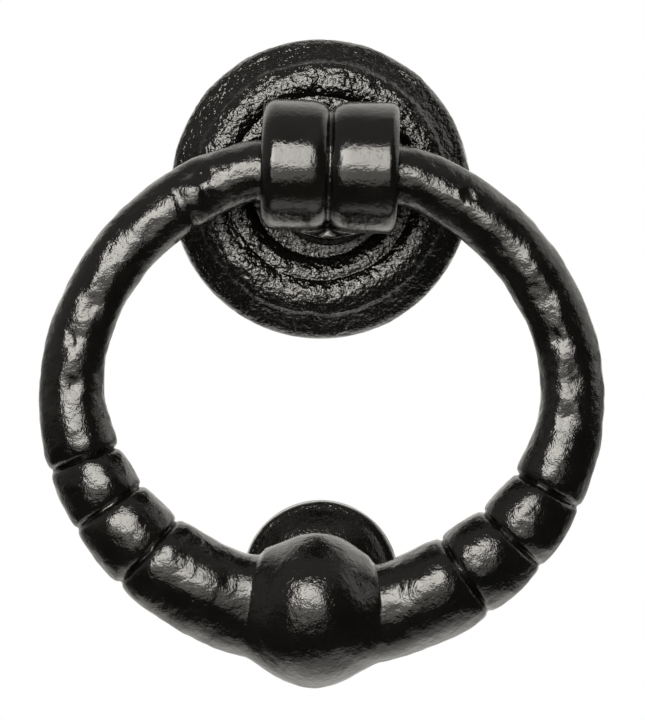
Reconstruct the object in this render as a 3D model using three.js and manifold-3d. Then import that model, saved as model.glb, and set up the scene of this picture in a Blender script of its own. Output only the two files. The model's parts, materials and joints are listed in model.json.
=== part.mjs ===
// Ring door knocker: a cast hoop with a striking ball, hung from an eye on a round rose, and its
// separate striker button, each held to the door by a stud and a cap nut.
// Millimetres, +Z up. The origin is the centre of the rose's back face, on the outer face of the door.
// +Y runs into the door, so whatever stands in front of the door is at negative y.
import * as THREE from "three";
import { mergeVertices } from "three/addons/utils/BufferGeometryUtils.js";
import Module from "manifold-3d";

const { cos, sin, sqrt, abs, PI } = Math;
const { lerp, smoothstep, clamp, degToRad } = THREE.MathUtils;
const wasm = await Module();
wasm.setup();

// ---------------------------------------------------------------- driving dimensions

const SEAT_GAP = 0.05; // between flat faces that bear on each other
const FIT_GAP = 0.3; // around a piece that sits in a hole, and where the ring touches
const DOOR_T = 44; // door clamped between the rose and the inner washer

// Rose, a moulded disc with a hollow back. Heights are above the door. Its radii are stepped outwards
// from the flat that the eye stands on.
const SEAT_SPARE = 0.8; // flat past the neck
const SEAT_WEB = 3.1; // metal between the flat and the hollow back
const INNER_RIDGE = { out: 3.5, h: 11.1, round: 4.4 };
const VALLEY_OUT = 1.4;
const OUTER_RIDGE = { out: 3.3, h: 11.8, round: 6.5 };
const RISER_OUT = 4.1; // foot of the outer ridge, a step down to the sloping band
const RISER_SLOPE = 0.4;
const BAND = { width: 4.8, h: 8.9 };
const RIM = { h: 4.0, round: 3.2, roundEnd: degToRad(65) };
const RIM_FLAT = 5; // width of the rim that bears on the door
const RECESS_SLOPE = 3.5;
const RECESS_SPARE = 0.5; // between the lock nut and the door

// Eye, a grooved barrel on a round neck with a square stem. It sits a little off centre and turned
// in the rose, as the castings are fitted by hand.
const EYE_OFFSET = 1.8;
const EYE_TURN = degToRad(2);
const BARREL_CLEARANCE = 2.6; // between the barrel and the rose's outer ridge
const BORE_PLAY = 1.65; // round the ring's bar, which hangs loosely
const BARREL_WALL = 5.5;
const BARREL_HALF = 14.75;
const BARREL_ROUND = 2.4;
const BARREL_Z = 4.2; // barrel above the centre of the rose
const BARREL_GROOVE = { depth: 2.0, half: 4.0 };
const NECK_BASE_R = 12.4;
const NECK_WAIST_R = 11.2;
const NECK_WAIST_RISE = 3.5;
const STEM_WALL = 1.3;
const STUD_WEB = 1.9; // metal between the stud's hole and the bore

// Ring. Angles are measured at the hoop's centre, from the ball.
const BAR_R = 6.95; // slim section, at the top
const HEAVY_R = 10.8; // heavy section, beside the ball
const SWELL_FROM = degToRad(105);
const SWELL_TO = degToRad(30);
const NECK_R = 9.9; // where the section dips into the ball
const NECK_AT = degToRad(18);
const HOOP_HALF_WIDTH = 60.6; // outer edge of the hoop
const HOOP_ABOVE = 57.9;
const HOOP_BELOW = 57.6;
const BAR_PAST_BARREL = 1.5; // straight bar past each face of the barrel
const BEND_SOFTNESS = 0.7;
const WELD_ANGLE = degToRad(33); // from the top, each side
const WELD_CHAMFER = 0.5;
const BEAD_GROOVES = [-74.2, -61.4, -46.8, 41.3, 55.9, 70.3].map(degToRad); // from the ball, left below 0
const BEAD_GROOVE = { depth: 1.2, shoulder: 4.2 };
const BALL_R = 16.9;
const BALL_HALF_LENGTH = 15.6; // along the hoop
const BALL_REACH = 44.8; // ball's centre from the hoop's centre

// Striker button.
const STRIKER_DROP = 84.4; // below the centre of the rose
const STRIKER_R = 16.9;
const STRIKER_DOME = 27;
const STRIKER_ROUND = 1.5;
const STRIKER_WEB = 3.5; // metal between the stud's hole and the top of the dome

// Threaded fixings: thread radius, then each piece by its own sizes.
const M8 = {
  thread: 4, washer: { r: 12, t: 2 }, spring: { r: 7.4, t: 2 }, across: 13, hexH: 6.5, capH: 15, grip: 10,
};
const M6 = {
  thread: 3, washer: { r: 9, t: 1.6 }, spring: { r: 5.9, t: 1.6 }, across: 10, hexH: 5, capH: 12, grip: 7.5,
};
const THREAD_GAP = 0.2; // the holes are plain, and this much wider than the thread
const CAP_WALL = 0.4; // cap nut's dome, inside the width of its hexagon
const LOCK_WASHER = { r: 10, t: 1.6 };
const LOCK_NUT_H = 4;
const SPRING_SPLIT = degToRad(14);

// Facets.
const ROSE_SIDES = 44;
const STRIKER_SIDES = 32;
const TUBE_SIDES = 16;
const ROUND_SIDES = 26;
const SMALL_SIDES = 20;
const HOOP_STEPS = 48;
const BAR_STEPS = 20;

// ---------------------------------------------------------------- what follows from them

const RECESS_H = LOCK_WASHER.t + LOCK_NUT_H + 2 * SEAT_GAP + RECESS_SPARE;
const SEAT_H = RECESS_H + SEAT_WEB;
const SEAT_R = NECK_BASE_R + EYE_OFFSET + SEAT_SPARE;
const INNER_CREST_R = SEAT_R + INNER_RIDGE.out;
const VALLEY_R = INNER_CREST_R + VALLEY_OUT;
const OUTER_CREST_R = VALLEY_R + OUTER_RIDGE.out;
const RISER_R = OUTER_CREST_R + RISER_OUT;
const BAND_R = RISER_R + RISER_SLOPE;
const ROSE_R = BAND_R + BAND.width;
const RECESS_R = ROSE_R - RIM_FLAT;
const BORE_R = BAR_R + BORE_PLAY;
const BARREL_R = BORE_R + BARREL_WALL;
const STEM_SIDE = 2 * (M8.thread + THREAD_GAP + STEM_WALL);
const AXIS_H = OUTER_RIDGE.h + BARREL_CLEARANCE + BARREL_R; // hinge axis above the door
const EYE_HOLE_H = AXIS_H - BORE_R - STUD_WEB;
const AXIS_Y = -AXIS_H;
const AXIS_Z = BARREL_Z - (BORE_R - BAR_R - FIT_GAP); // the bar hangs on the floor of the bore
const BAR_HALF = BARREL_HALF + BAR_PAST_BARREL;
const STRIKER_Z = -STRIKER_DROP;

// ---------------------------------------------------------------- shape helpers

function arc(x, y, r, from, to, steps) {
  return Array.from({ length: steps + 1 }, (_, i) => {
    const angle = lerp(from, to, i / steps);
    return new THREE.Vector2(x + r * cos(angle), y + r * sin(angle));
  });
}

const point = (x, y) => new THREE.Vector2(x, y);

// A closed mesh as a manifold-3d solid.
function solid(geometry) {
  const bare = new THREE.BufferGeometry();
  const loose = geometry.index ? geometry.toNonIndexed() : geometry;
  bare.setAttribute("position", loose.getAttribute("position"));
  const merged = mergeVertices(bare, 1e-4);
  const mesh = new wasm.Mesh({
    numProp: 3,
    vertProperties: merged.attributes.position.array,
    triVerts: new Uint32Array(merged.index.array),
  });
  return new wasm.Manifold(mesh);
}

function geometryOf(manifold) {
  const mesh = manifold.getMesh();
  const geometry = new THREE.BufferGeometry();
  geometry.setAttribute("position", new THREE.BufferAttribute(mesh.vertProperties, 3));
  geometry.setIndex(new THREE.BufferAttribute(mesh.triVerts, 1));
  geometry.computeVertexNormals();
  return geometry;
}

// Turned about the Y axis from points of (radius, height above the door), listed from the door outwards.
function turned(points, sides) {
  return new THREE.LatheGeometry(points.map((p) => point(p.x, -p.y)).reverse(), sides);
}

// A rod along Y between two heights above the door; negative heights are inside the door.
function rod(radius, low, high, sides = SMALL_SIDES, topRadius = radius) {
  return turned([point(0, low), point(radius, low), point(topRadius, high), point(0, high)], sides);
}

// An outline in X and Z, drawn as X and Y, extruded between two heights above the door.
function slab(shape, low, high, curveSegments = SMALL_SIDES) {
  const geometry = new THREE.ExtrudeGeometry(shape, {
    depth: high - low,
    bevelEnabled: false,
    curveSegments,
  });
  return geometry.rotateX(PI / 2).translate(0, -low, 0);
}

function hexagon(across) {
  const corner = across / 2 / cos(PI / 6);
  return new THREE.Shape(arc(0, 0, corner, 0, (5 * PI) / 3, 5));
}

function piece(name, geometry, material) {
  const mesh = new THREE.Mesh(geometry, material);
  mesh.name = name;
  return mesh;
}

// ---------------------------------------------------------------- materials

const smoothPaint = new THREE.MeshStandardMaterial({ color: 0x0c0c0d, roughness: 0.24, metalness: 0.0 });
const castPaint = new THREE.MeshStandardMaterial({ color: 0x0b0b0b, roughness: 0.32, metalness: 0.0 });
const zincPlate = new THREE.MeshStandardMaterial({ color: 0xb8bbbd, roughness: 0.35, metalness: 1.0 });

// ---------------------------------------------------------------- rose

// Points over a ridge's round top, from an outer radius to an inner one.
function overRidge(ridge, crest, outer, inner, steps) {
  return Array.from({ length: steps + 1 }, (_, i) => {
    const r = lerp(outer, inner, i / steps);
    return point(r, ridge.h - ridge.round + sqrt(ridge.round ** 2 - (r - crest) ** 2));
  });
}

function rosePlate() {
  const profile = [
    point(0, RECESS_H),
    point(RECESS_R - RECESS_SLOPE, RECESS_H),
    point(RECESS_R, 0),
    point(ROSE_R, 0),
    ...arc(ROSE_R - RIM.round, RIM.h, RIM.round, 0, RIM.roundEnd, 4),
    point(BAND_R, BAND.h),
    ...overRidge(OUTER_RIDGE, OUTER_CREST_R, RISER_R, VALLEY_R, 5),
    ...overRidge(INNER_RIDGE, INNER_CREST_R, VALLEY_R, SEAT_R, 4).slice(1),
    point(SEAT_R, SEAT_H),
    point(0, SEAT_H),
  ];
  const holeSide = STEM_SIDE + 2 * FIT_GAP;
  const hole = new THREE.BoxGeometry(holeSide, 2 * SEAT_H, holeSide);
  hole.rotateY(EYE_TURN).translate(EYE_OFFSET, -SEAT_H, 0);
  return geometryOf(solid(turned(profile, ROSE_SIDES)).subtract(solid(hole)));
}

// ---------------------------------------------------------------- eye

// Half of the barrel's outline as (radius, distance from the middle), from the groove to the face.
function barrelHalf() {
  const { depth, half } = BARREL_GROOVE;
  const shoulder = [0, 0.12, 0.35, 0.65, 1].map((u) =>
    point(BARREL_R - depth * (1 - sqrt(u * (2 - u))), u * half),
  );
  const round = arc(BARREL_R - BARREL_ROUND, BARREL_HALF - BARREL_ROUND, BARREL_ROUND, 0, PI / 2, 4);
  return [...shoulder, ...round, point(0, BARREL_HALF)];
}

function eyeCasting() {
  const half = barrelHalf();
  const mirrored = half.slice(1).map((p) => point(p.x, -p.y)).reverse();
  const barrel = new THREE.LatheGeometry([...mirrored, ...half], ROUND_SIDES).rotateZ(-PI / 2);
  const bore = new THREE.CylinderGeometry(BORE_R, BORE_R, 4 * BARREL_HALF, ROUND_SIDES).rotateZ(PI / 2);
  const seat = SEAT_H + SEAT_GAP;
  const neck = turned(
    [
      point(0, seat),
      point(NECK_BASE_R, seat),
      point(NECK_BASE_R, seat + 1),
      point(NECK_WAIST_R, seat + NECK_WAIST_RISE),
      point(NECK_WAIST_R, AXIS_H),
      point(0, AXIS_H),
    ],
    ROUND_SIDES,
  );
  const stemLow = RECESS_H + FIT_GAP;
  const stemHeight = seat + 1 - stemLow;
  const stem = new THREE.BoxGeometry(STEM_SIDE, stemHeight, STEM_SIDE);
  const studHole = rod(M8.thread + THREAD_GAP, stemLow - 1, EYE_HOLE_H);
  return geometryOf(
    solid(barrel.translate(0, AXIS_Y, BARREL_Z))
      .add(solid(neck))
      .add(solid(stem.translate(0, -stemLow - stemHeight / 2, 0)))
      .subtract(solid(bore.translate(0, AXIS_Y, BARREL_Z)))
      .subtract(solid(studHole)),
  );
}

// ---------------------------------------------------------------- ring

// Radius of the round section, without the bead grooves.
function tubeRadius(angle) {
  const heavy = smoothstep(SWELL_FROM - abs(angle), 0, SWELL_FROM - SWELL_TO);
  const dip = smoothstep(SWELL_TO - abs(angle), 0, SWELL_TO - NECK_AT);
  return lerp(BAR_R, HEAVY_R, heavy) - dip * (HEAVY_R - NECK_R);
}

// Distance of the section's centre from the hoop's centre: the outer edge is an oval in two halves.
function reach(angle) {
  const height = cos(angle) > 0 ? HOOP_BELOW : HOOP_ABOVE;
  const outerEdge = 1 / sqrt((sin(angle) / HOOP_HALF_WIDTH) ** 2 + (cos(angle) / height) ** 2);
  return outerEdge - tubeRadius(angle);
}

// Angle from the top at which the hoop meets the end of the straight bar.
function barAngle() {
  let angle = 0;
  for (let i = 0; i < 20; i++) angle = Math.asin(BAR_HALF / reach(PI - angle));
  return angle;
}

const HOOP_CENTRE_Z = AXIS_Z - reach(PI - barAngle()) * cos(barAngle());

// The lower of two heights, eased into each other where they are close.
function softMin(a, b, softness) {
  const share = clamp(0.5 + (b - a) / (2 * softness), 0, 1);
  return lerp(b, a, share) - softness * share * (1 - share);
}

function hoopPoint(angle) {
  const z = HOOP_CENTRE_Z - reach(angle) * cos(angle);
  return new THREE.Vector3(reach(angle) * sin(angle), AXIS_Y, softMin(z, AXIS_Z, BEND_SOFTNESS));
}

// Direction across the section, in the hoop's plane and away from its centre.
function hoopAcross(angle) {
  const step = 1e-3;
  const along = hoopPoint(angle + step).sub(hoopPoint(angle - step)).normalize();
  return new THREE.Vector3(along.z, 0, -along.x);
}

// Cut that the bead grooves make: round shoulders that meet in a fine line.
function grooveCut(angle) {
  const cuts = BEAD_GROOVES.map((groove) => {
    const u = (abs(angle - groove) * reach(angle)) / BEAD_GROOVE.shoulder;
    return u < 1 ? BEAD_GROOVE.depth * (1 - sqrt(u * (2 - u))) : 0;
  });
  return Math.max(...cuts);
}

// A round bar that follows the hoop between two angles: a turned profile, bent in the hoop's plane.
function bentBar(angles) {
  const ends = new Set([angles[0], angles.at(-1)]);
  const radiusAt = (angle) => tubeRadius(angle) - grooveCut(angle) - (ends.has(angle) ? WELD_CHAMFER : 0);
  const profile = [
    point(0, angles[0]),
    ...angles.map((angle) => point(radiusAt(angle), angle)),
    point(0, angles.at(-1)),
  ];
  const geometry = new THREE.LatheGeometry(profile, TUBE_SIDES);
  const position = geometry.attributes.position;
  for (let i = 0; i < position.count; i++) {
    const angle = position.getY(i);
    const moved = hoopPoint(angle).addScaledVector(hoopAcross(angle), position.getX(i));
    position.setXYZ(i, moved.x, moved.y - position.getZ(i), moved.z);
  }
  return geometry;
}

// Evenly spaced angles, with the two ends' chamfers.
function spread(from, to, steps) {
  const chamfer = WELD_CHAMFER / reach(from);
  const inner = Array.from({ length: steps + 1 }, (_, i) => lerp(from + chamfer, to - chamfer, i / steps));
  return [from, ...inner, to];
}

function ringHoop() {
  const gap = FIT_GAP / 2 / reach(PI - WELD_ANGLE);
  const end = PI - WELD_ANGLE - gap;
  const shoulder = BEAD_GROOVE.shoulder / reach(BEAD_GROOVES[1]);
  const rows = [-0.7, -0.25, 0, 0.25, 0.7].map((u) => u * shoulder);
  const grooves = BEAD_GROOVES.flatMap((g) => rows.map((row) => g + row));
  const clearOfGrooves = (angle) => grooves.every((g) => abs(g - angle) > degToRad(1.2));
  const angles = [...spread(-end, end, HOOP_STEPS).filter(clearOfGrooves), ...grooves].sort((a, b) => a - b);
  const ball = new THREE.SphereGeometry(BALL_R, ROUND_SIDES, 16).scale(BALL_HALF_LENGTH / BALL_R, 1, 1);
  return geometryOf(
    solid(bentBar(angles)).add(solid(ball.translate(0, AXIS_Y, HOOP_CENTRE_Z - BALL_REACH))),
  );
}

function ringHingeBar() {
  const gap = FIT_GAP / 2 / reach(PI - WELD_ANGLE);
  return geometryOf(solid(bentBar(spread(PI - WELD_ANGLE + gap, PI + WELD_ANGLE - gap, BAR_STEPS))));
}

// ---------------------------------------------------------------- striker

// Height of the dome's top: the ball at rest stands off it by the fit gap.
function strikerHeight() {
  const ballDrop = STRIKER_Z - (HOOP_CENTRE_Z - BALL_REACH);
  const centres = STRIKER_DOME + BALL_R + FIT_GAP;
  return AXIS_H - sqrt(centres ** 2 - ballDrop ** 2) + STRIKER_DOME;
}

function strikerButton() {
  const top = strikerHeight();
  const domeAt = (r) => top - STRIKER_DOME + sqrt(STRIKER_DOME ** 2 - r ** 2);
  const shoulder = STRIKER_R - STRIKER_ROUND;
  const dome = [1, 0.85, 0.7, 0.5, 0.3, 0.12].map((u) => point(u * shoulder, domeAt(u * shoulder)));
  const profile = [
    point(0, 0),
    point(STRIKER_R, 0),
    ...arc(shoulder, domeAt(shoulder) - STRIKER_ROUND, STRIKER_ROUND, 0, PI / 3, 3),
    ...dome,
    point(0, top),
  ];
  const hole = rod(M6.thread + THREAD_GAP, -1, top - STRIKER_WEB);
  return geometryOf(solid(turned(profile, STRIKER_SIDES)).subtract(solid(hole)));
}

// ---------------------------------------------------------------- fixings

// A flat ring between two heights above the door.
function ringSlab(outer, inner, low, high) {
  return turned(
    [point(inner, low), point(outer, low), point(outer, high), point(inner, high), point(inner, low)],
    SMALL_SIDES,
  );
}

function splitWasher(size, low) {
  const inner = size.thread + THREAD_GAP;
  const half = SPRING_SPLIT / 2;
  const outline = [
    ...arc(0, 0, size.spring.r, half, 2 * PI - half, SMALL_SIDES),
    ...arc(0, 0, inner, 2 * PI - half, half, SMALL_SIDES),
  ];
  return slab(new THREE.Shape(outline), low, low + size.spring.t);
}

function capNut(size, high) {
  const domeR = size.across / 2 - CAP_WALL;
  const domeBase = high - size.hexH;
  const top = high - size.capH;
  const sunk = domeBase + 1;
  const domed = arc(0, top + domeR, domeR, -PI / 2, 0, 6);
  const dome = turned([...domed, point(domeR, sunk), point(0, sunk)], SMALL_SIDES);
  const hole = rod(size.thread + THREAD_GAP, high - size.grip - THREAD_GAP, high + 1);
  return geometryOf(
    solid(slab(hexagon(size.across), domeBase, high)).add(solid(dome)).subtract(solid(hole)),
  );
}

function lockNut(size, high) {
  const shape = hexagon(size.across);
  shape.holes.push(new THREE.Path(arc(0, 0, size.thread + THREAD_GAP, 0, 2 * PI, SMALL_SIDES).slice(1)));
  return slab(shape, high - LOCK_NUT_H, high);
}

// Stud, washer, split washer and cap nut on the inside of the door, for a hole that ends at holeTop.
function doorFixing(name, size, holeTop) {
  const washerHigh = -DOOR_T;
  const springHigh = washerHigh - size.washer.t - SEAT_GAP;
  const nutHigh = springHigh - size.spring.t - SEAT_GAP;
  const boreR = size.thread + THREAD_GAP;
  const fixing = new THREE.Group();
  fixing.add(
    piece(`${name}_stud`, rod(size.thread, nutHigh - size.grip, holeTop - THREAD_GAP), zincPlate),
    piece(
      `${name}_washer`,
      ringSlab(size.washer.r, boreR, washerHigh - size.washer.t, washerHigh),
      zincPlate,
    ),
    piece(`${name}_spring_washer`, splitWasher(size, springHigh - size.spring.t), zincPlate),
    piece(`${name}_cap_nut`, capNut(size, nutHigh), zincPlate),
  );
  return fixing;
}

// ---------------------------------------------------------------- assembly

const ring = new THREE.Group();
ring.add(piece("ring_hoop", ringHoop(), smoothPaint));
ring.add(piece("ring_hinge_bar", ringHingeBar(), smoothPaint));

// Everything on the stem's line: the eye with its ring, and the pieces that hold the eye.
const lockWasherHigh = RECESS_H - SEAT_GAP;
const lockWasherLow = lockWasherHigh - LOCK_WASHER.t;
const lockWasher = ringSlab(LOCK_WASHER.r, M8.thread + THREAD_GAP, lockWasherLow, lockWasherHigh);
const eyeLine = new THREE.Group();
eyeLine.position.x = EYE_OFFSET;
eyeLine.rotation.y = EYE_TURN;
eyeLine.add(ring);
eyeLine.add(piece("eye_casting", eyeCasting(), smoothPaint));
eyeLine.add(piece("rose_lock_washer", lockWasher, zincPlate));
eyeLine.add(piece("rose_lock_nut", lockNut(M8, lockWasherLow - SEAT_GAP), zincPlate));
eyeLine.add(doorFixing("knocker", M8, EYE_HOLE_H));

const striker = new THREE.Group();
striker.position.z = STRIKER_Z;
striker.add(piece("striker_button", strikerButton(), castPaint));
striker.add(doorFixing("striker", M6, strikerHeight() - STRIKER_WEB));

const knocker = new THREE.Group();
knocker.add(piece("rose_plate", rosePlate(), castPaint));
knocker.add(eyeLine, striker);

export default knocker;
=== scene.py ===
"""Looks of the ring door knocker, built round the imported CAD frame.

Shapes are worked out in millimetres and stored in metres. The five castings are remade with the unevenness,
grooves and marks of hand-fettled sand castings under gloss black paint. The fixings get threads and chamfers,
apart from the two spring washers, which stay as CAD nodes.
"""

import json
import math

import bpy
import numpy as np
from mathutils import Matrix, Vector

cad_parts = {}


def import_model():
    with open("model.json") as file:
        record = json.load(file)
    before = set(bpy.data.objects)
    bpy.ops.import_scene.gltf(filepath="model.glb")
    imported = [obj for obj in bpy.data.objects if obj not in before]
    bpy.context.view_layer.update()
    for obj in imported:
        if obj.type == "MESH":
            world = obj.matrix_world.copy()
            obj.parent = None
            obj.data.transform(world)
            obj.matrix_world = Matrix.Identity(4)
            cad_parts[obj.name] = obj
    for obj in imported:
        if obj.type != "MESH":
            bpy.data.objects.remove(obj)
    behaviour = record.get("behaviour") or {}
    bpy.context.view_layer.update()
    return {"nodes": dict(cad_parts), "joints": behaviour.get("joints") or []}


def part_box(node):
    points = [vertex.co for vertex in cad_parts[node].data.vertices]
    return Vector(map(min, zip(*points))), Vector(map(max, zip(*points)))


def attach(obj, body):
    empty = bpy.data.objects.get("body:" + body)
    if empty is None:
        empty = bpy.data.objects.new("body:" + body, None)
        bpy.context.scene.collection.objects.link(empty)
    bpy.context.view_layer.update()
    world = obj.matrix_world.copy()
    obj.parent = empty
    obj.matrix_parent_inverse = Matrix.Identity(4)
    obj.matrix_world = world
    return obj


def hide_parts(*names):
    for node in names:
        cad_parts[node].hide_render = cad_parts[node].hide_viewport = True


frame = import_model()
TAU = 2 * math.pi
MM = 0.001

# ---------------------------------------------------------------- sizes, as in the CAD, in millimetres

AXIS_H = 28.5
BARREL_R, BARREL_HALF, BARREL_Z = 14.1, 14.75, 4.2
BORE_R = 8.6
NECK_BASE_R, NECK_WAIST_R, NECK_WAIST_RISE = 12.4, 11.2, 3.5
SEAT_H, RECESS_H = 9.3, 6.2
STEM_SIDE = 11.0
BAR_R, HEAVY_R, NECK_R = 6.95, 10.8, 9.9
SWELL_FROM, SWELL_TO, NECK_AT = (math.radians(a) for a in (105, 30, 18))
HOOP_HALF_WIDTH, HOOP_ABOVE, HOOP_BELOW = 60.6, 57.9, 57.6
BAR_HALF = 16.25
BEND_SOFTNESS = 0.7
WELD = math.radians(33)
BEAD_GROOVES = [math.radians(a) for a in (-74.2, -61.4, -46.8, 41.3, 55.9, 70.3)]
BALL_R, BALL_HALF_LENGTH, BALL_REACH = 16.9, 15.6, 44.8
STUD_HOLE_R, STUD_HOLE_TOP = 4.2, 18.0

# ---------------------------------------------------------------- the eye's frame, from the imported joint

hinge = frame["joints"][0]
HINGE_AT = np.array(hinge["pos_m"]) / MM
RIGHT = -np.array(hinge["axis"])
RIGHT /= np.linalg.norm(RIGHT)
UP = np.array([-RIGHT[2], 0.0, RIGHT[0]])
AXIS_Z = 2.85


def to_row(p):
    """From the eye's frame, whose origin is on the door under the stem, to the row frame. Millimetres."""
    base = HINGE_AT - AXIS_Z * UP - np.array([0, -AXIS_H, 0])
    return base + p[:, :1] * RIGHT + p[:, 1:2] * np.array([0, 1.0, 0]) + p[:, 2:] * UP


# ---------------------------------------------------------------- noise

GRADIENTS = np.random.RandomState(5).normal(size=(256, 3))
GRADIENTS /= np.linalg.norm(GRADIENTS, axis=1, keepdims=True)


def scramble(cell, seed):
    x, y, z = (cell[:, k].astype(np.int64) for k in range(3))
    h = x * 73856093 ^ y * 19349663 ^ z * 83492791 ^ (seed * 2654435761)
    h = (h ^ (h >> 13)) * 1274126177
    return (h ^ (h >> 16)) & 0xFFFFFF


def noise(p, size, seed):
    """Gradient noise, about -0.7 to 0.7, whose lumps are about size millimetres across."""
    q = p / size
    cell = np.floor(q)
    f = q - cell
    u = f * f * f * (f * (f * 6 - 15) + 10)
    total = np.zeros(len(p))
    for corner in np.ndindex(2, 2, 2):
        c = np.array(corner)
        g = GRADIENTS[scramble(cell + c, seed) & 255]
        weight = np.prod(np.where(c == 1, u, 1 - u), axis=1)
        total += weight * np.einsum("ij,ij->i", g, f - c)
    return total


def fbm(p, size, octaves, seed):
    """Noise with finer and weaker noise on top, half as large and half as strong each time."""
    return sum(noise(p, size / 2**k, seed + k) / 2**k for k in range(octaves))


def pits(p, size, seed):
    """Distance to the nearest of scattered points, in units of size."""
    q = p / size
    cell = np.floor(q)
    best = np.full(len(p), 9.0)
    for offset in np.ndindex(3, 3, 3):
        c = cell + np.array(offset) - 1
        h = scramble(c, seed)
        spot = c + np.stack([h & 255, (h >> 8) & 255, (h >> 16) & 255], axis=1) / 255
        best = np.minimum(best, np.linalg.norm(q - spot, axis=1))
    return best


def ease(x, low, high):
    """0 at low, 1 at high and smooth between them. It falls where low is above high."""
    t = np.clip((x - low) / (high - low), 0, 1)
    return t * t * (3 - 2 * t)


def soft_max(a, b, k):
    """The larger of two, rounded off where they are within k of each other."""
    h = np.clip(0.5 + (a - b) / (2 * k), 0, 1)
    return b + (a - b) * h + k * h * (1 - h)


def soft_min(a, b, k):
    return -soft_max(-a, -b, k)


# ---------------------------------------------------------------- meshes


def piece(name, points, faces, body, replaced, material, sharp=None):
    """A closed mesh from points in millimetres, which stands for CAD nodes and rides on their body."""
    mesh = bpy.data.meshes.new(name)
    mesh.from_pydata([], [], [])
    points = np.asarray(points, dtype=np.float64) * MM
    mesh.vertices.add(len(points))
    mesh.vertices.foreach_set("co", points.ravel())
    sizes = np.array([len(f) for f in faces], dtype=np.int32)
    loops = np.concatenate([np.asarray(f, dtype=np.int32) for f in faces])
    mesh.loops.add(len(loops))
    mesh.loops.foreach_set("vertex_index", loops)
    mesh.polygons.add(len(sizes))
    mesh.polygons.foreach_set("loop_start", np.concatenate([[0], np.cumsum(sizes)[:-1]]).astype(np.int32))
    mesh.polygons.foreach_set("loop_total", sizes)
    mesh.update(calc_edges=True)
    mesh.validate()
    mesh.shade_smooth()
    if sharp is not None:
        mesh.set_sharp_from_angle(angle=math.radians(sharp))
    mesh.materials.append(material)
    made = bpy.data.objects.new(name, mesh)
    bpy.context.collection.objects.link(made)
    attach(made, body)
    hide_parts(*replaced)
    return made


def grid_faces(rows, columns, closed_rows=False, first=0):
    """Quads of a grid whose columns close on themselves."""
    i = np.arange(rows if closed_rows else rows - 1)
    j = np.arange(columns)
    i, j = (a.ravel() for a in np.meshgrid(i, j, indexing="ij"))
    i2, j2 = (i + 1) % rows, (j + 1) % columns
    quads = np.stack([i * columns + j, i * columns + j2, i2 * columns + j2, i2 * columns + j], axis=1)
    return list(quads + first)


def turned(profile, columns, closed=False):
    """A surface turned about the door's normal, from points of (radius, height above the door).

    An open profile runs from the axis to the axis, and its first and last points are single."""
    profile = np.asarray(profile, dtype=float)
    body = profile if closed else profile[1:-1]
    angle = np.arange(columns) / columns * TAU
    points = np.empty((len(body), columns, 3))
    points[..., 0] = body[:, :1] * np.cos(angle)
    points[..., 1] = -body[:, 1:2]
    points[..., 2] = body[:, :1] * np.sin(angle)
    points = points.reshape(-1, 3)
    faces = grid_faces(len(body), columns, closed_rows=closed)
    if closed:
        return points, faces
    start, end = len(points), len(points) + 1
    points = np.vstack([points, [0, -profile[0, 1], 0], [0, -profile[-1, 1], 0]])
    j = np.arange(columns)
    last = (len(body) - 1) * columns
    faces += [(start, (k + 1) % columns, k) for k in j]
    faces += [(end, last + k, last + (k + 1) % columns) for k in j]
    return points, faces


def even(profile, step):
    """The same outline with points at even steps, keeping its corners."""
    profile = np.asarray(profile, dtype=float)
    out = [profile[:1]]
    for a, b in zip(profile[:-1], profile[1:]):
        n = max(1, int(round(np.linalg.norm(b - a) / step)))
        out.append(a + (b - a) * (np.arange(1, n + 1) / n)[:, None])
    return np.vstack(out)


def arc(x, y, r, start, end, steps):
    angle = np.radians(np.linspace(start, end, steps + 1))
    return np.stack([x + r * np.cos(angle), y + r * np.sin(angle)], axis=1)


def normals_of(points, faces):
    """Vertex normals, from quads and triangles."""
    out = np.zeros_like(points)
    for n in (3, 4):
        f = np.array([f for f in faces if len(f) == n])
        if len(f):
            a = points[f[:, 0]]
            cross = np.cross(points[f[:, 1]] - a, points[f[:, 2]] - a)
            if n == 4:
                cross = cross + np.cross(points[f[:, 2]] - a, points[f[:, 3]] - a)
            for k in range(n):
                np.add.at(out, f[:, k], cross)
    return out / np.maximum(np.linalg.norm(out, axis=1, keepdims=True), 1e-12)


# ---------------------------------------------------------------- materials


def shader(name):
    """A new material, with its node tree, its surface shader and the position in metres that textures use."""
    material = bpy.data.materials.new(name)
    material.use_nodes = True
    nodes, links = material.node_tree.nodes, material.node_tree.links
    principled = nodes["Principled BSDF"]
    place = nodes.new("ShaderNodeTexCoord").outputs["Object"]
    return material, nodes, links, principled, place


def mottle(nodes, links, place, size_mm, detail):
    node = nodes.new("ShaderNodeTexNoise")
    node.inputs["Scale"].default_value = 1 / (size_mm * MM)
    node.inputs["Detail"].default_value = detail
    links.new(place, node.inputs["Vector"])
    return node.outputs["Fac"]


def spread(nodes, links, value, low, high, out_low, out_high):
    """The value's range from low to high, carried over to out_low to out_high."""
    node = nodes.new("ShaderNodeMapRange")
    for socket, number in zip(("From Min", "From Max", "To Min", "To Max"), (low, high, out_low, out_high)):
        node.inputs[socket].default_value = number
    links.new(value, node.inputs["Value"])
    return node.outputs["Result"]


def blend_colours(nodes, links, value, first, second):
    node = nodes.new("ShaderNodeMix")
    node.data_type = "RGBA"
    node.inputs["A"].default_value = (*first, 1)
    node.inputs["B"].default_value = (*second, 1)
    links.new(value, node.inputs["Factor"])
    return node.outputs["Result"]


def bump(nodes, links, height, depth_mm, below=None):
    node = nodes.new("ShaderNodeBump")
    node.inputs["Strength"].default_value = 1.0
    node.inputs["Distance"].default_value = depth_mm * MM
    links.new(height, node.inputs["Height"])
    if below is not None:
        links.new(below, node.inputs["Normal"])
    return node.outputs["Normal"]


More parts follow.
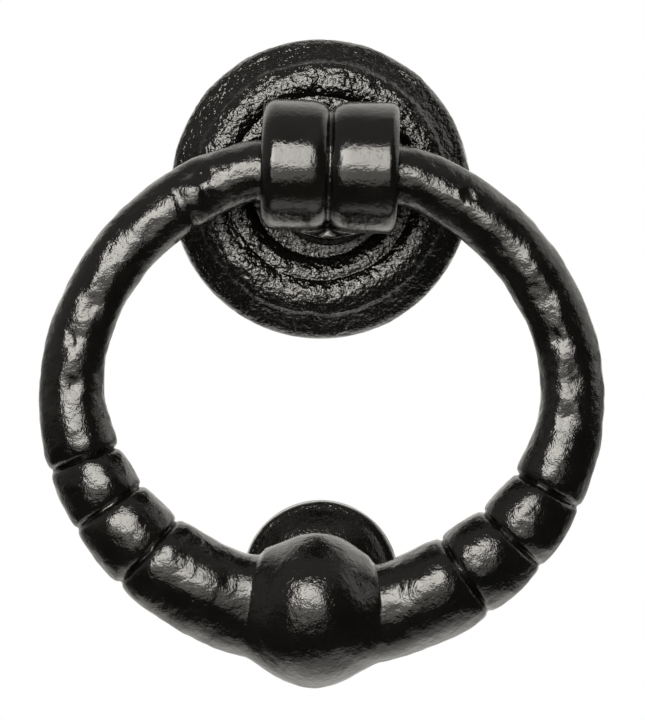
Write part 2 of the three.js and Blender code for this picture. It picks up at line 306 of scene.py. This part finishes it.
WRINKLE = 0.36  # width of the paint's finest wrinkles, mm
WRINKLE_BEND, WRINKLE_BEND_SIZE = 0.9, 1.6  # how far the wrinkles wander, and over what distance, mm


def black_paint(name, wrinkle_slope, grain_mm, grain_slope, rough_low, rough_high):
    """Gloss black paint: a finely wrinkled skin over the casting's grain, in a slightly uneven black."""
    material, nodes, links, principled, place = shader(name)
    tone = mottle(nodes, links, place, 6, detail=4)
    tone = spread(nodes, links, tone, 0.35, 0.7, 0, 1)
    links.new(
        blend_colours(nodes, links, tone, (0.0011, 0.0011, 0.001), (0.0028, 0.0025, 0.002)),
        principled.inputs["Base Color"],
    )
    sheen = mottle(nodes, links, place, 2.2, detail=5)
    links.new(spread(nodes, links, sheen, 0.3, 0.7, rough_low, rough_high), principled.inputs["Roughness"])
    grain = bump(nodes, links, mottle(nodes, links, place, grain_mm, detail=2), grain_slope * grain_mm)
    bend = nodes.new("ShaderNodeVectorMath")
    bend.operation = "MULTIPLY_ADD"
    bend.inputs[1].default_value = [WRINKLE_BEND * MM] * 3
    bender = nodes.new("ShaderNodeTexNoise")
    bender.inputs["Scale"].default_value = 1 / (WRINKLE_BEND_SIZE * MM)
    links.new(place, bender.inputs["Vector"])
    links.new(bender.outputs["Color"], bend.inputs[0])
    links.new(place, bend.inputs[2])
    fine = mottle(nodes, links, bend.outputs[0], WRINKLE, detail=1)
    links.new(bump(nodes, links, fine, wrinkle_slope * WRINKLE, grain), principled.inputs["Normal"])
    principled.inputs["IOR"].default_value = 1.5
    return material


smooth_paint = black_paint("smooth_black_paint", 0.15, 1.3, 0.11, 0.09, 0.17)
eye_paint = black_paint("eye_black_paint", 0.1, 1.2, 0.06, 0.07, 0.13)
cast_paint = black_paint("rough_black_paint", 0.1, 0.9, 0.42, 0.08, 0.15)


def zinc():
    """Bright zinc plate, a little cloudy and unevenly dull."""
    material, nodes, links, principled, place = shader("zinc_plate")
    tone = mottle(nodes, links, place, 3.5, detail=4)
    tone = spread(nodes, links, tone, 0.35, 0.65, 0, 1)
    colour = blend_colours(nodes, links, tone, (0.58, 0.6, 0.62), (0.74, 0.74, 0.72))
    links.new(colour, principled.inputs["Base Color"])
    dull = mottle(nodes, links, place, 0.8, detail=5)
    links.new(spread(nodes, links, dull, 0.3, 0.7, 0.2, 0.42), principled.inputs["Roughness"])
    grain = mottle(nodes, links, place, 0.5, detail=3)
    links.new(bump(nodes, links, grain, 0.006), principled.inputs["Normal"])
    principled.inputs["Metallic"].default_value = 1.0
    return material


zinc_plate = zinc()

# ---------------------------------------------------------------- ring


def tube_radius(angle):
    """Radius of the round section, without the bead grooves."""
    heavy = ease(SWELL_FROM - np.abs(angle), 0, SWELL_FROM - SWELL_TO)
    dip = ease(SWELL_TO - np.abs(angle), 0, SWELL_TO - NECK_AT)
    return BAR_R + (HEAVY_R - BAR_R) * heavy - dip * (HEAVY_R - NECK_R)


def reach(angle):
    """Distance of the section's centre from the hoop's centre."""
    height = np.where(np.cos(angle) > 0, HOOP_BELOW, HOOP_ABOVE)
    outer = 1 / np.sqrt((np.sin(angle) / HOOP_HALF_WIDTH) ** 2 + (np.cos(angle) / height) ** 2)
    return outer - tube_radius(angle)


bar_angle = 0.0  # from the top, where the hoop meets the end of the straight bar
for _ in range(20):
    bar_angle = math.asin(BAR_HALF / reach(math.pi - bar_angle))
HOOP_Z = AXIS_Z - float(reach(math.pi - bar_angle)) * math.cos(bar_angle)


def centreline(angle):
    """The section's centre in the eye's frame, and the direction across it in the ring's plane."""

    def at(a):
        x = reach(a) * np.sin(a)
        z = HOOP_Z - reach(a) * np.cos(a)
        return np.stack([x, soft_min(z, AXIS_Z, BEND_SOFTNESS)], axis=1)

    here = at(angle)
    along = at(angle + 1e-3) - at(angle - 1e-3)
    along /= np.linalg.norm(along, axis=1, keepdims=True)
    return here, np.stack([along[:, 1], -along[:, 0]], axis=1)


# Places on the ring are an angle along it, from the ball, and a turn round its section, from its outer side
# over the front. Both are in degrees, and MM_ALONG and MM_ROUND turn them into distances.
MM_ALONG, MM_ROUND = 51, 8

# Soft creases across the ring at the weld: angle, depth, and the turns they run between.
WELD_CREASES = [(-142.7, 0.45, 60, 180), (-148.8, 0.55, 20, 140), (-155.0, 0.25, 30, 90)]
# Angle, turn, size and depth.
DENTS = [
    (-147.0, 42, 2.6, 0.6),
    (-150.5, 66, 2.0, 0.45),
    (-110.6, 93, 2.4, 0.35),
    (-91.6, 93, 2.0, 0.45),
    (-124.0, 70, 3.2, 0.4),
    (118.0, 100, 3.0, 0.35),
    (97.0, 84, 2.6, 0.3),
    (133.0, 112, 2.8, 0.35),
    (-102.0, 78, 2.6, 0.4),
    (-133.0, 104, 2.8, 0.35),
    (107.0, 106, 2.4, 0.35),
    (88.0, 96, 2.2, 0.4),
]
CRATER = (146.2, 74, 1.6, 0.22)

BALL_ZONE = 0.6  # the ball's blend ends at this angle on each side, in radians
BALL_FILLET, BALL_FILLET_INSIDE = 3.2, 3.6
NECK_FILL_LEFT, NECK_FILL_RIGHT, NECK_FILL_SPREAD = 3.4, 1.9, 7  # on the inner side, mm, mm and degrees


BEAD_HALF = 6.2  # from a groove to the crown of the bead beside it
HOOP_SIDE_HALF, BALL_SIDE_HALF = 3.4, 5.0  # shorter shoulders of the plain stretches beyond the beads
GROOVE_ROUND, GROOVE_LINE, GROOVE_LINE_HALF = 0.3, 0.3, 0.35


def bead_grooves(p, angle, turn):
    """Cut of the six grooves: the metal between them bulges, and each has a narrow round bottom.

    They are deepest on the front and shallowest on the outer side."""
    signed = (angle + math.pi) % TAU - math.pi
    front = np.abs(np.sin(turn))
    inward = np.clip(-np.cos(turn), 0, 1)
    cut = np.zeros(len(p))
    for k, groove in enumerate(BEAD_GROOVES):
        towards_ball = (groove - signed) * np.sign(groove) > 0
        off = (signed - groove) * reach(angle) + 0.35 * noise(p, 9, 41 + k)
        away = np.sqrt(off**2 + GROOVE_ROUND**2) - GROOVE_ROUND
        if k in (0, len(BEAD_GROOVES) - 1):
            half = np.where(towards_ball, BEAD_HALF, HOOP_SIDE_HALF)
        elif k in (len(BEAD_GROOVES) // 2 - 1, len(BEAD_GROOVES) // 2):
            half = np.where(towards_ball, BALL_SIDE_HALF, BEAD_HALF)
        else:
            half = BEAD_HALF
        bead = np.clip(away / half, 0, 1)
        depth = 0.6 + 1.15 * front + 0.6 * inward + 0.4 * noise(p, 8, 51 + k)
        cut += depth * (1 - np.sqrt(bead * (2 - bead))) ** 1.1
        cut += GROOVE_LINE * np.exp(-((away / GROOVE_LINE_HALF) ** 2))
    return cut


def ring_skin(p, angle, turn):
    """How far the ring's surface stands off its plain section: unevenness, grooves and the weld marks."""
    out = 0.46 * fbm(p, 17, 2, 11) + 0.34 * fbm(p, 6.5, 2, 21) + 0.1 * fbm(p, 2.4, 2, 31) - 0.36
    out -= bead_grooves(p, angle, turn)
    degrees, around = (np.degrees(angle) + 180) % 360 - 180, np.degrees(turn)
    for at, depth, start, end in WELD_CREASES:
        along = np.radians(degrees - at) * MM_ALONG + 1.1 * noise(p, 5, 55)
        held = ease(around, start - 25, start + 25) * ease(-around, -end - 25, -end + 25)
        out -= depth * held * np.exp(-((along / 1.5) ** 2))
    for at, where, size, depth in DENTS:
        away = np.hypot(np.radians(degrees - at) * MM_ALONG, np.radians(around - where) * MM_ROUND)
        out -= depth * np.exp(-((away / size) ** 2)) * (1 + 0.6 * noise(p, 2, 56))
    at, where, size, depth = CRATER
    away = np.hypot(np.radians(degrees - at) * MM_ALONG, np.radians(around - where) * MM_ROUND)
    away += 0.5 * noise(p, 2, 57)
    lip = 0.1 * np.exp(-(((away - size - 0.6) / 0.8) ** 2))
    out += lip - depth * np.exp(-((away / size) ** 3))
    return out


def with_ball(plain, direction, along, radius, angle, turn):
    """Radii of the section's points once the ball is blended in.

    Each point lies on a line from the section's centre, and the ball's own radius is where that line leaves
    a slightly shortened ball. The inner side of each neck is filled out."""
    offset = np.array([0, -AXIS_H, HOOP_Z - BALL_REACH]) - plain
    lengthwise = np.einsum("ij,ij->i", offset, along)
    sideways = offset - lengthwise[:, None] * along
    reach_out = np.einsum("ij,ij->i", sideways, direction)
    room = BALL_R**2 * (1 - (lengthwise / BALL_HALF_LENGTH) ** 2)
    inside = reach_out**2 - np.einsum("ij,ij->i", sideways, sideways) + room
    near = np.abs(angle) < BALL_ZONE
    ball = np.where((inside > 0) & near, reach_out + np.sqrt(np.maximum(inside, 0)), 0)
    p = plain + np.maximum(ball, radius)[:, None] * direction
    ball += 0.5 * fbm(p, 15, 2, 61) + 0.2 * fbm(p, 5, 2, 62) + 0.04 * fbm(p, 2, 2, 63) - 0.26
    inward = np.clip(-np.cos(turn), 0, 1)
    from_neck = (np.degrees(np.abs(angle)) - math.degrees(NECK_AT)) / NECK_FILL_SPREAD
    fill = np.where(angle < 0, NECK_FILL_LEFT, NECK_FILL_RIGHT) * np.exp(-(from_neck**2))
    radius = radius + fill * inward**1.5
    blended = soft_max(ball, radius, BALL_FILLET + BALL_FILLET_INSIDE * inward**2)
    return np.where(near, blended - 0.15 * ease(BALL_ZONE - np.abs(angle), 0, 0.15), radius)


def ring_part(name, node, start, end, rows, columns):
    """A stretch of the ring between two angles, measured at its centre from the ball."""
    angle = np.linspace(start, end, rows)
    turn = np.arange(columns) / columns * TAU
    middle, across = centreline(angle)
    a, t = (x.ravel() for x in np.meshgrid(angle, turn, indexing="ij"))
    middle, across = np.repeat(middle, columns, axis=0), np.repeat(across, columns, axis=0)
    cos, sin = np.cos(t), np.sin(t)
    direction = np.stack([across[:, 0] * cos, -sin, across[:, 1] * cos], axis=1)
    round_section = np.stack([-across[:, 0] * sin, -cos, -across[:, 1] * sin], axis=1)
    plain = np.stack([middle[:, 0], np.full(len(a), -AXIS_H), middle[:, 1]], axis=1)
    radius = tube_radius(a)
    radius = radius + ring_skin(plain + radius[:, None] * direction, a, t)
    radius = with_ball(plain, direction, np.cross(direction, round_section), radius, a, t)
    points = plain + radius[:, None] * direction
    faces = [tuple(f[::-1]) for f in grid_faces(rows, columns)]
    first, last = len(points), len(points) + 1
    points = np.vstack([points, plain[0], plain[-1]])
    base = (rows - 1) * columns
    faces += [(first, k, (k + 1) % columns) for k in range(columns)]
    faces += [(last, base + (k + 1) % columns, base + k) for k in range(columns)]
    piece(name, to_row(points), faces, "ring", [node], smooth_paint, sharp=60)


ring_part("ring_hoop_cast", "ring_hoop", -math.pi + WELD, math.pi - WELD, 800, 108)
ring_part("ring_hinge_bar_forged", "ring_hinge_bar", math.pi - WELD, math.pi + WELD, 150, 100)

# ---------------------------------------------------------------- rose

# Half of its section, as (radius, height above the door): seat, inner ridge, outer ridge, sloping band, rim
# and hollow back.
rose_profile = np.vstack(
    [
        [[8.2, RECESS_H], [8.2, SEAT_H], [15.0, SEAT_H]],
        arc(18.5, 6.7, 4.4, 143, 71.5, 8),
        arc(23.2, 5.3, 6.5, 120.5, 51, 16),
        [[27.4, 9.5], [27.7, 8.9], [30.65, 6.9]],
        arc(29.3, 4.0, 3.2, 65, 0, 8),
        [[32.5, 0.0], [27.5, 0.0], [24.0, RECESS_H], [8.2, RECESS_H]],
    ]
)


def rose():
    """The backplate, whose front is lumpy most of all on its ridges."""
    points, faces = turned(even(rose_profile, 0.44)[:-1], 400, closed=True)
    faces = [tuple(f[::-1]) for f in faces]
    normal = normals_of(points, faces)
    r = np.hypot(points[:, 0], points[:, 2])
    front = ease(-points[:, 1], 0.3, 2.5) * ease(normal[:, 1], 0.3, -0.1)
    lumpy = 0.6 + 0.4 * ease(r, 29, 26.5) - 0.5 * ease(r, 19, 15)
    lumps = 0.2 * noise(points, 2.6, 72) + 0.2 * noise(points, 1.5, 73) + 0.15 * noise(points, 0.95, 75)
    out = 0.4 * fbm(points, 9, 2, 71) + lumpy * lumps
    out -= 0.2 * lumpy * (1 - ease(pits(points, 2.4, 74), 0.12, 0.42))
    out = np.minimum(out - 0.1, 0.25) * front
    points = points + normal * out[:, None]
    piece("rose_plate_cast", points, faces, "door_set", ["rose_plate"], cast_paint)


rose()

# ---------------------------------------------------------------- eye


def skin_of(field, low, high, pitch):
    """Quads round a solid, which is given as a field that is negative inside it.

    There is one point in each cell that the surface crosses, and one quad across each edge that it crosses."""
    low, high = np.array(low, float), np.array(high, float)
    count = np.ceil((high - low) / pitch).astype(int) + 1
    x, y, z = (low[k] + pitch * np.arange(count[k]) for k in range(3))
    grid = np.stack(np.meshgrid(x, y, z, indexing="ij"), axis=-1)
    value = field(grid.reshape(-1, 3)).reshape(count)
    inside = value < 0
    corners = [np.array(c) for c in np.ndindex(2, 2, 2)]
    cells = count - 1
    held = sum(inside[tuple(slice(c[k], c[k] + cells[k]) for k in range(3))].astype(int) for c in corners)
    mixed = (held > 0) & (held < 8)
    index = np.full(cells, -1)
    index[mixed] = np.arange(mixed.sum())
    cell = np.argwhere(mixed)
    total, hits = np.zeros((len(cell), 3)), np.zeros(len(cell))
    for a in corners:
        for k in range(3):
            if a[k]:
                continue
            b = a.copy()
            b[k] = 1
            va = value[tuple((cell + a).T)]
            vb = value[tuple((cell + b).T)]
            crossed = (va < 0) != (vb < 0)
            t = np.where(crossed, va / np.where(crossed, va - vb, 1), 0)
            total += np.where(crossed[:, None], cell + a + t[:, None] * (b - a), 0)
            hits += crossed
    points = low + pitch * total / hits[:, None]
    faces = []
    for k in range(3):
        step = np.eye(3, dtype=int)
        first = inside[tuple(slice(0, -1) if n == k else slice(1, -1) for n in range(3))]
        second = inside[tuple(slice(1, None) if n == k else slice(1, -1) for n in range(3))]
        edge = np.argwhere(first != second) + [0 if n == k else 1 for n in range(3)]
        outward = inside[tuple(edge.T)]
        u, v = step[(k + 1) % 3], step[(k + 2) % 3]
        quad = np.stack([index[tuple((edge - d).T)] for d in (u + v, v, 0 * u, u)], axis=1)
        faces.append(np.where(outward[:, None], quad, quad[:, ::-1]))
    return points, np.concatenate(faces)


def settle(points, field, steps):
    """Moves points onto the field's surface, and gives its normals there."""
    h = 0.02
    for _ in range(steps):
        slope = np.stack([field(points + h * e) - field(points - h * e) for e in np.eye(3)], axis=1) / (2 * h)
        size = np.maximum(np.linalg.norm(slope, axis=1, keepdims=True), 0.3)
        points = points - np.clip(field(points)[:, None] / size, -0.3, 0.3) * slope / size
    return points, slope / size


BARREL_GROOVE_HALF, BARREL_GROOVE_DEPTH = 5.0, 2.5
BARREL_EDGE_LEFT, BARREL_EDGE_RIGHT = 3.3, 2.2  # rounding at the barrel's faces


def eye_field(p):
    """The eye casting in its own frame: barrel, neck and stem, with the ring's bore and the stud's hole."""
    x, h = p[:, 0], -p[:, 1]
    from_axis = np.hypot(h - AXIS_H, p[:, 2] - BARREL_Z)
    u = np.clip(np.abs(x) / BARREL_GROOVE_HALF, 0, 1)
    groove = BARREL_GROOVE_DEPTH * (1 - np.sqrt(u * (2 - u))) ** 1.1 + 0.2 * np.exp(-((x / 0.5) ** 2))
    outer = BARREL_R - groove
    edge = np.where(x < 0, BARREL_EDGE_LEFT, BARREL_EDGE_RIGHT)
    a, b = from_axis - outer + edge, np.abs(x) - BARREL_HALF + edge
    barrel = np.hypot(np.maximum(a, 0), np.maximum(b, 0)) + np.minimum(np.maximum(a, b), 0) - edge
    from_stem = np.hypot(x, p[:, 2])
    waist = NECK_WAIST_R + (NECK_BASE_R - NECK_WAIST_R) * (1 - ease(h, SEAT_H + 1, SEAT_H + NECK_WAIST_RISE))
    neck = np.maximum(from_stem - waist, h - AXIS_H)
    body = soft_min(barrel, neck, 1.6)
    body = np.maximum(body, SEAT_H + 0.05 - h)
    square = np.maximum(np.abs(x), np.abs(p[:, 2])) - STEM_SIDE / 2
    stem = np.maximum(square, np.maximum(RECESS_H + 0.3 - h, h - SEAT_H - 1))
    body = np.minimum(body, stem)
    body = soft_max(body, BORE_R - from_axis, 0.8)
    stud_hole = np.maximum(from_stem - STUD_HOLE_R, h - STUD_HOLE_TOP)
    return np.maximum(body, -stud_hole)


def eye():
    points, faces = skin_of(eye_field, (-15.4, -43.2, -14), (15.4, -6, 18.9), pitch=0.42)
    points, normal = settle(points, eye_field, 3)
    out = 0.16 * fbm(points, 9, 2, 81) + 0.03 * fbm(points, 3, 2, 82) - 0.11
    shown = ease(-points[:, 1], SEAT_H + 0.2, SEAT_H + 1.5)
    points = points + normal * (out * shown)[:, None]
    piece("eye_cast", to_row(points), faces, "door_set", ["eye_casting"], eye_paint)


eye()

# ---------------------------------------------------------------- striker


STRIKER_DOME, STRIKER_ROUND = 23.0, 1.5
STRIKER_HOLE_R, STRIKER_HOLE_TOP = 3.2, 8.1


def striker():
    """The button: a low dome with a rounded edge and a blind hole for its stud."""
    low, high = (np.array(c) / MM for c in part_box("striker_button"))
    radius, top = (high[0] - low[0]) / 2, -low[1]
    shoulder = radius - STRIKER_ROUND
    drop = STRIKER_DOME - math.sqrt(STRIKER_DOME**2 - shoulder**2)
    spread_out = math.degrees(math.asin(shoulder / STRIKER_DOME))
    profile = np.vstack(
        [
            [[0, STRIKER_HOLE_TOP], [STRIKER_HOLE_R, STRIKER_HOLE_TOP]],
            [[STRIKER_HOLE_R, 0], [radius, 0]],
            arc(shoulder, top - drop - STRIKER_ROUND, STRIKER_ROUND, 0, 90 - spread_out, 7),
            arc(0, top - STRIKER_DOME, STRIKER_DOME, 90 - spread_out, 90, 40)[1:],
        ]
    )
    points, faces = turned(even(profile, 0.5), 190)
    normal = normals_of(points, faces)
    if normal[np.argmin(points[:, 1]), 1] > 0:
        faces = [tuple(f[::-1]) for f in faces]
        normal = -normal
    r = np.hypot(points[:, 0], points[:, 2])
    in_hole = (r < STRIKER_HOLE_R + 0.3) & (points[:, 1] > -STRIKER_HOLE_TOP - 0.1)
    front = ease(-points[:, 1], 0.3, 2) * ~in_hole
    out = 0.4 * fbm(points, 9, 1, 91) + 0.07 * fbm(points, 3.2, 2, 92) - 0.25
    points = points + normal * (out * front)[:, None] + [0, 0, (low[2] + high[2]) / 2]
    piece("striker_button_cast", points, faces, "door_set", ["striker_button"], smooth_paint)


striker()

# ---------------------------------------------------------------- fixings


def place_of(node):
    """Centre across the door's normal, and the heights above the door that the node runs between."""
    low, high = (np.array(c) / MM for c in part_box(node))
    return np.array([(low[0] + high[0]) / 2, 0, (low[2] + high[2]) / 2]), -high[1], -low[1]


def fixing(node, points, faces, sharp=35):
    normal = normals_of(points, faces)
    widest = np.argmax(np.hypot(points[:, 0], points[:, 2]))
    if normal[widest] @ (points[widest] * [1, 0, 1]) < 0:
        faces = [tuple(f[::-1]) for f in faces]
    centre, _, _ = place_of(node)
    piece(node + "_zinc", points + centre, faces, "door_set", [node], zinc_plate, sharp=sharp)


THREAD_DEPTH = 0.58  # of the pitch
THREAD_LEAD = 0.9  # how far each end is cut back, mm


def stud(node, radius, pitch):
    """A threaded rod: its rings of points are moved in where the thread's groove passes them."""
    _, low, high = place_of(node)
    rows = int((high - low) / pitch * 9)
    h = np.linspace(low, high, rows)
    profile = np.vstack([[[0, low]], np.stack([np.full(rows, radius), h], axis=1), [[0, high]]])
    points, faces = turned(profile, 28)
    r = np.hypot(points[:, 0], points[:, 2])
    phase = (points[:, 1] / pitch + np.arctan2(points[:, 2], points[:, 0]) / TAU) % 1
    flank = np.clip(1.35 * np.abs(2 * phase - 1) - 0.15, 0, 1)
    lead = np.minimum(-points[:, 1] - low, high + points[:, 1])
    new = np.minimum(radius - THREAD_DEPTH * pitch * flank, radius - THREAD_LEAD + lead)
    k = np.where(r > 0.1, new / np.maximum(r, 0.1), 1)
    fixing(node, points * np.stack([k, np.ones_like(k), k], axis=1), faces, sharp=50)


WASHER_EDGE = 0.22


def washer(node, outer, inner):
    _, low, high = place_of(node)
    e = WASHER_EDGE
    profile = np.array(
        [
            [inner, low],
            [outer - e, low],
            [outer - 0.3 * e, low + 0.3 * e],
            [outer, low + e],
            [outer, high - e],
            [outer - 0.3 * e, high - 0.3 * e],
            [outer - e, high],
            [inner + e, high],
            [inner, high - e],
        ]
    )
    points, faces = turned(profile, 96, closed=True)
    fixing(node, points, faces)


def hexed(points, across):
    """Cuts turned points back to a hexagon across flats."""
    angle = np.arctan2(points[:, 2], points[:, 0]) % (TAU / 6) - TAU / 12
    r = np.maximum(np.hypot(points[:, 0], points[:, 2]), 1e-6)
    k = np.minimum(1, across / 2 / np.cos(angle) / r)
    return points * np.stack([k, np.ones_like(k), k], axis=1)


def cap_nut(node, across, hex_h, thread, grip):
    _, low, high = place_of(node)
    corner = across / 2 / math.cos(math.pi / 6)
    flat, dome = across / 2, across / 2 - 0.4
    slope = math.tan(math.radians(30))
    base = high - hex_h
    rise = (corner - 0.95 * flat) * slope
    profile = np.vstack(
        [
            [[0, high - grip - 0.2], [thread + 0.2, high - grip - 0.2], [thread + 0.2, high - 0.6]],
            [[thread + 0.8, high], [0.95 * flat, high], [corner, high - rise], [corner, base + rise]],
            [[0.95 * flat, base], [dome, base - 0.05]],
            arc(0, low + dome, dome, 0, -90, 14),
        ]
    )
    points, faces = turned(even(profile, 0.7), 96)
    fixing(node, hexed(points, across), faces)


def lock_nut(node, across, thread):
    _, low, high = place_of(node)
    corner, flat = across / 2 / math.cos(math.pi / 6), across / 2
    rise = (corner - 0.95 * flat) * math.tan(math.radians(30))
    profile = [
        [thread + 0.2, low + 0.6],
        [thread + 0.8, low],
        [0.95 * flat, low],
        [corner, low + rise],
        [corner, high - rise],
        [0.95 * flat, high],
        [thread + 0.8, high],
        [thread + 0.2, high - 0.6],
        [thread + 0.2, low + 0.6],
    ]
    points, faces = turned(even(profile, 0.7)[:-1], 96, closed=True)
    fixing(node, hexed(points, across), faces)


stud("knocker_stud", 4.0, 1.25)
stud("striker_stud", 3.0, 1.0)
washer("knocker_washer", 12.0, 4.2)
washer("striker_washer", 9.0, 3.2)
washer("rose_lock_washer", 10.0, 4.2)
cap_nut("knocker_cap_nut", 13.0, 6.5, 4.0, 10.0)
cap_nut("striker_cap_nut", 10.0, 5.0, 3.0, 7.5)
lock_nut("rose_lock_nut", 13.0, 4.0)
for name in ("knocker_spring_washer", "striker_spring_washer"):
    slots = frame["nodes"][name].data.materials
    slots.clear()
    slots.append(zinc_plate)

# ---------------------------------------------------------------- floor, light and camera


def floor():
    mesh = bpy.data.meshes.new("floor")
    mesh.from_pydata([(-3, -3, 0), (3, -3, 0), (3, 3, 0), (-3, 3, 0)], [], [(0, 1, 2, 3)])
    made = bpy.data.objects.new("floor", mesh)
    made.location.z = -0.3
    bpy.context.collection.objects.link(made)
    material, _, _, principled, _ = shader("pale_floor")
    principled.inputs["Base Color"].default_value = (0.86, 0.855, 0.84, 1)
    principled.inputs["Roughness"].default_value = 0.8
    mesh.materials.append(material)
    made.visible_glossy = False


floor()


def world():
    """White behind the object for the camera. For everything else, a dim room that is light behind it,
    above it, under it and to its upper right, as the photo's reflections show."""
    made = bpy.data.worlds.new("studio")
    bpy.context.scene.world = made
    made.use_nodes = True
    nodes, links = made.node_tree.nodes, made.node_tree.links
    background = nodes["Background"]
    direction = nodes.new("ShaderNodeTexCoord").outputs["Generated"]

    def towards(vector, low, high, dark, bright):
        dot = nodes.new("ShaderNodeVectorMath")
        dot.operation = "DOT_PRODUCT"
        dot.inputs[1].default_value = vector
        links.new(direction, dot.inputs[0])
        step = nodes.new("ShaderNodeMapRange")
        step.interpolation_type = "SMOOTHSTEP"
        for socket, number in zip(("From Min", "From Max", "To Min", "To Max"), (low, high, dark, bright)):
            step.inputs[socket].default_value = number
        links.new(dot.outputs["Value"], step.inputs["Value"])
        return step.outputs["Result"]

    behind = towards((0, 1, 0), 0.42, 0.62, 0.045, 0.36)
    behind_above = towards((0, 0.8, 0.6), 0.65, 0.85, 0.0, 0.7)
    behind_below = towards((0, 0.8, -0.6), 0.6, 0.9, 0.0, 0.5)
    above = towards((-0.45, 0, 0.9), 0.15, 0.6, 0.01, 0.3)
    right_above = towards((0.84, 0.24, 0.48), 0.82, 0.93, 0.0, 1.2)
    under = towards((0.1, 0.3, -0.95), 0.72, 0.88, 0.0, 1.1)
    total = behind
    for part in (behind_above, behind_below, above, right_above, under):
        add = nodes.new("ShaderNodeMath")
        add.operation = "ADD"
        links.new(total, add.inputs[0])
        links.new(part, add.inputs[1])
        total = add.outputs[0]
    seen = nodes.new("ShaderNodeLightPath").outputs["Is Camera Ray"]
    mix = nodes.new("ShaderNodeMix")
    mix.inputs["B"].default_value = 1.0
    links.new(seen, mix.inputs["Factor"])
    links.new(total, mix.inputs["A"])
    links.new(mix.outputs["Result"], background.inputs["Strength"])
    links.new(
        blend_colours(nodes, links, seen, (1.0, 0.975, 0.92), (1.0, 1.0, 1.0)),
        background.inputs["Color"],
    )


world()


def softbox(name, left, right, bottom, top, near, radiance, right_share):
    """A plain panel of light in front of the object, which fades to right_share at its right edge."""
    lamp = bpy.data.lights.new(name, "AREA")
    lamp.shape = "RECTANGLE"
    lamp.size, lamp.size_y = right - left, top - bottom
    lamp.energy = radiance * lamp.size * lamp.size_y * math.pi
    lamp.color = (1.0, 0.97, 0.9)
    lamp.use_nodes = True
    nodes, links = lamp.node_tree.nodes, lamp.node_tree.links
    emission = next(n for n in nodes if n.type == "EMISSION")
    split = nodes.new("ShaderNodeSeparateXYZ")
    links.new(nodes.new("ShaderNodeNewGeometry").outputs["Parametric"], split.inputs[0])
    across = spread(nodes, links, split.outputs["X"], 0.0, 1.0, 1.0, right_share)
    links.new(across, emission.inputs["Strength"])
    made = bpy.data.objects.new(name, lamp)
    made.location = ((left + right) / 2, -near, (bottom + top) / 2)
    made.rotation_euler = (math.pi / 2, 0, 0)
    made.visible_camera = False
    bpy.context.collection.objects.link(made)


softbox("key_softbox", -0.24, 0.09, -0.01, 0.285, 0.43, 14, 0.55)
softbox("fill_panel", -0.3, 0.15, -0.21, 0.3, 0.44, 2.3, 0.5)

camera = bpy.data.cameras.new("camera")
camera.lens = 346.4
camera_object = bpy.data.objects.new("camera", camera)
camera_object.location = (0.0004, -1.506, -0.0371)
camera_object.rotation_euler = (math.pi / 2, 0, 0)
bpy.context.collection.objects.link(camera_object)
bpy.context.scene.camera = camera_object
bpy.context.scene.view_settings.view_transform = "Standard"
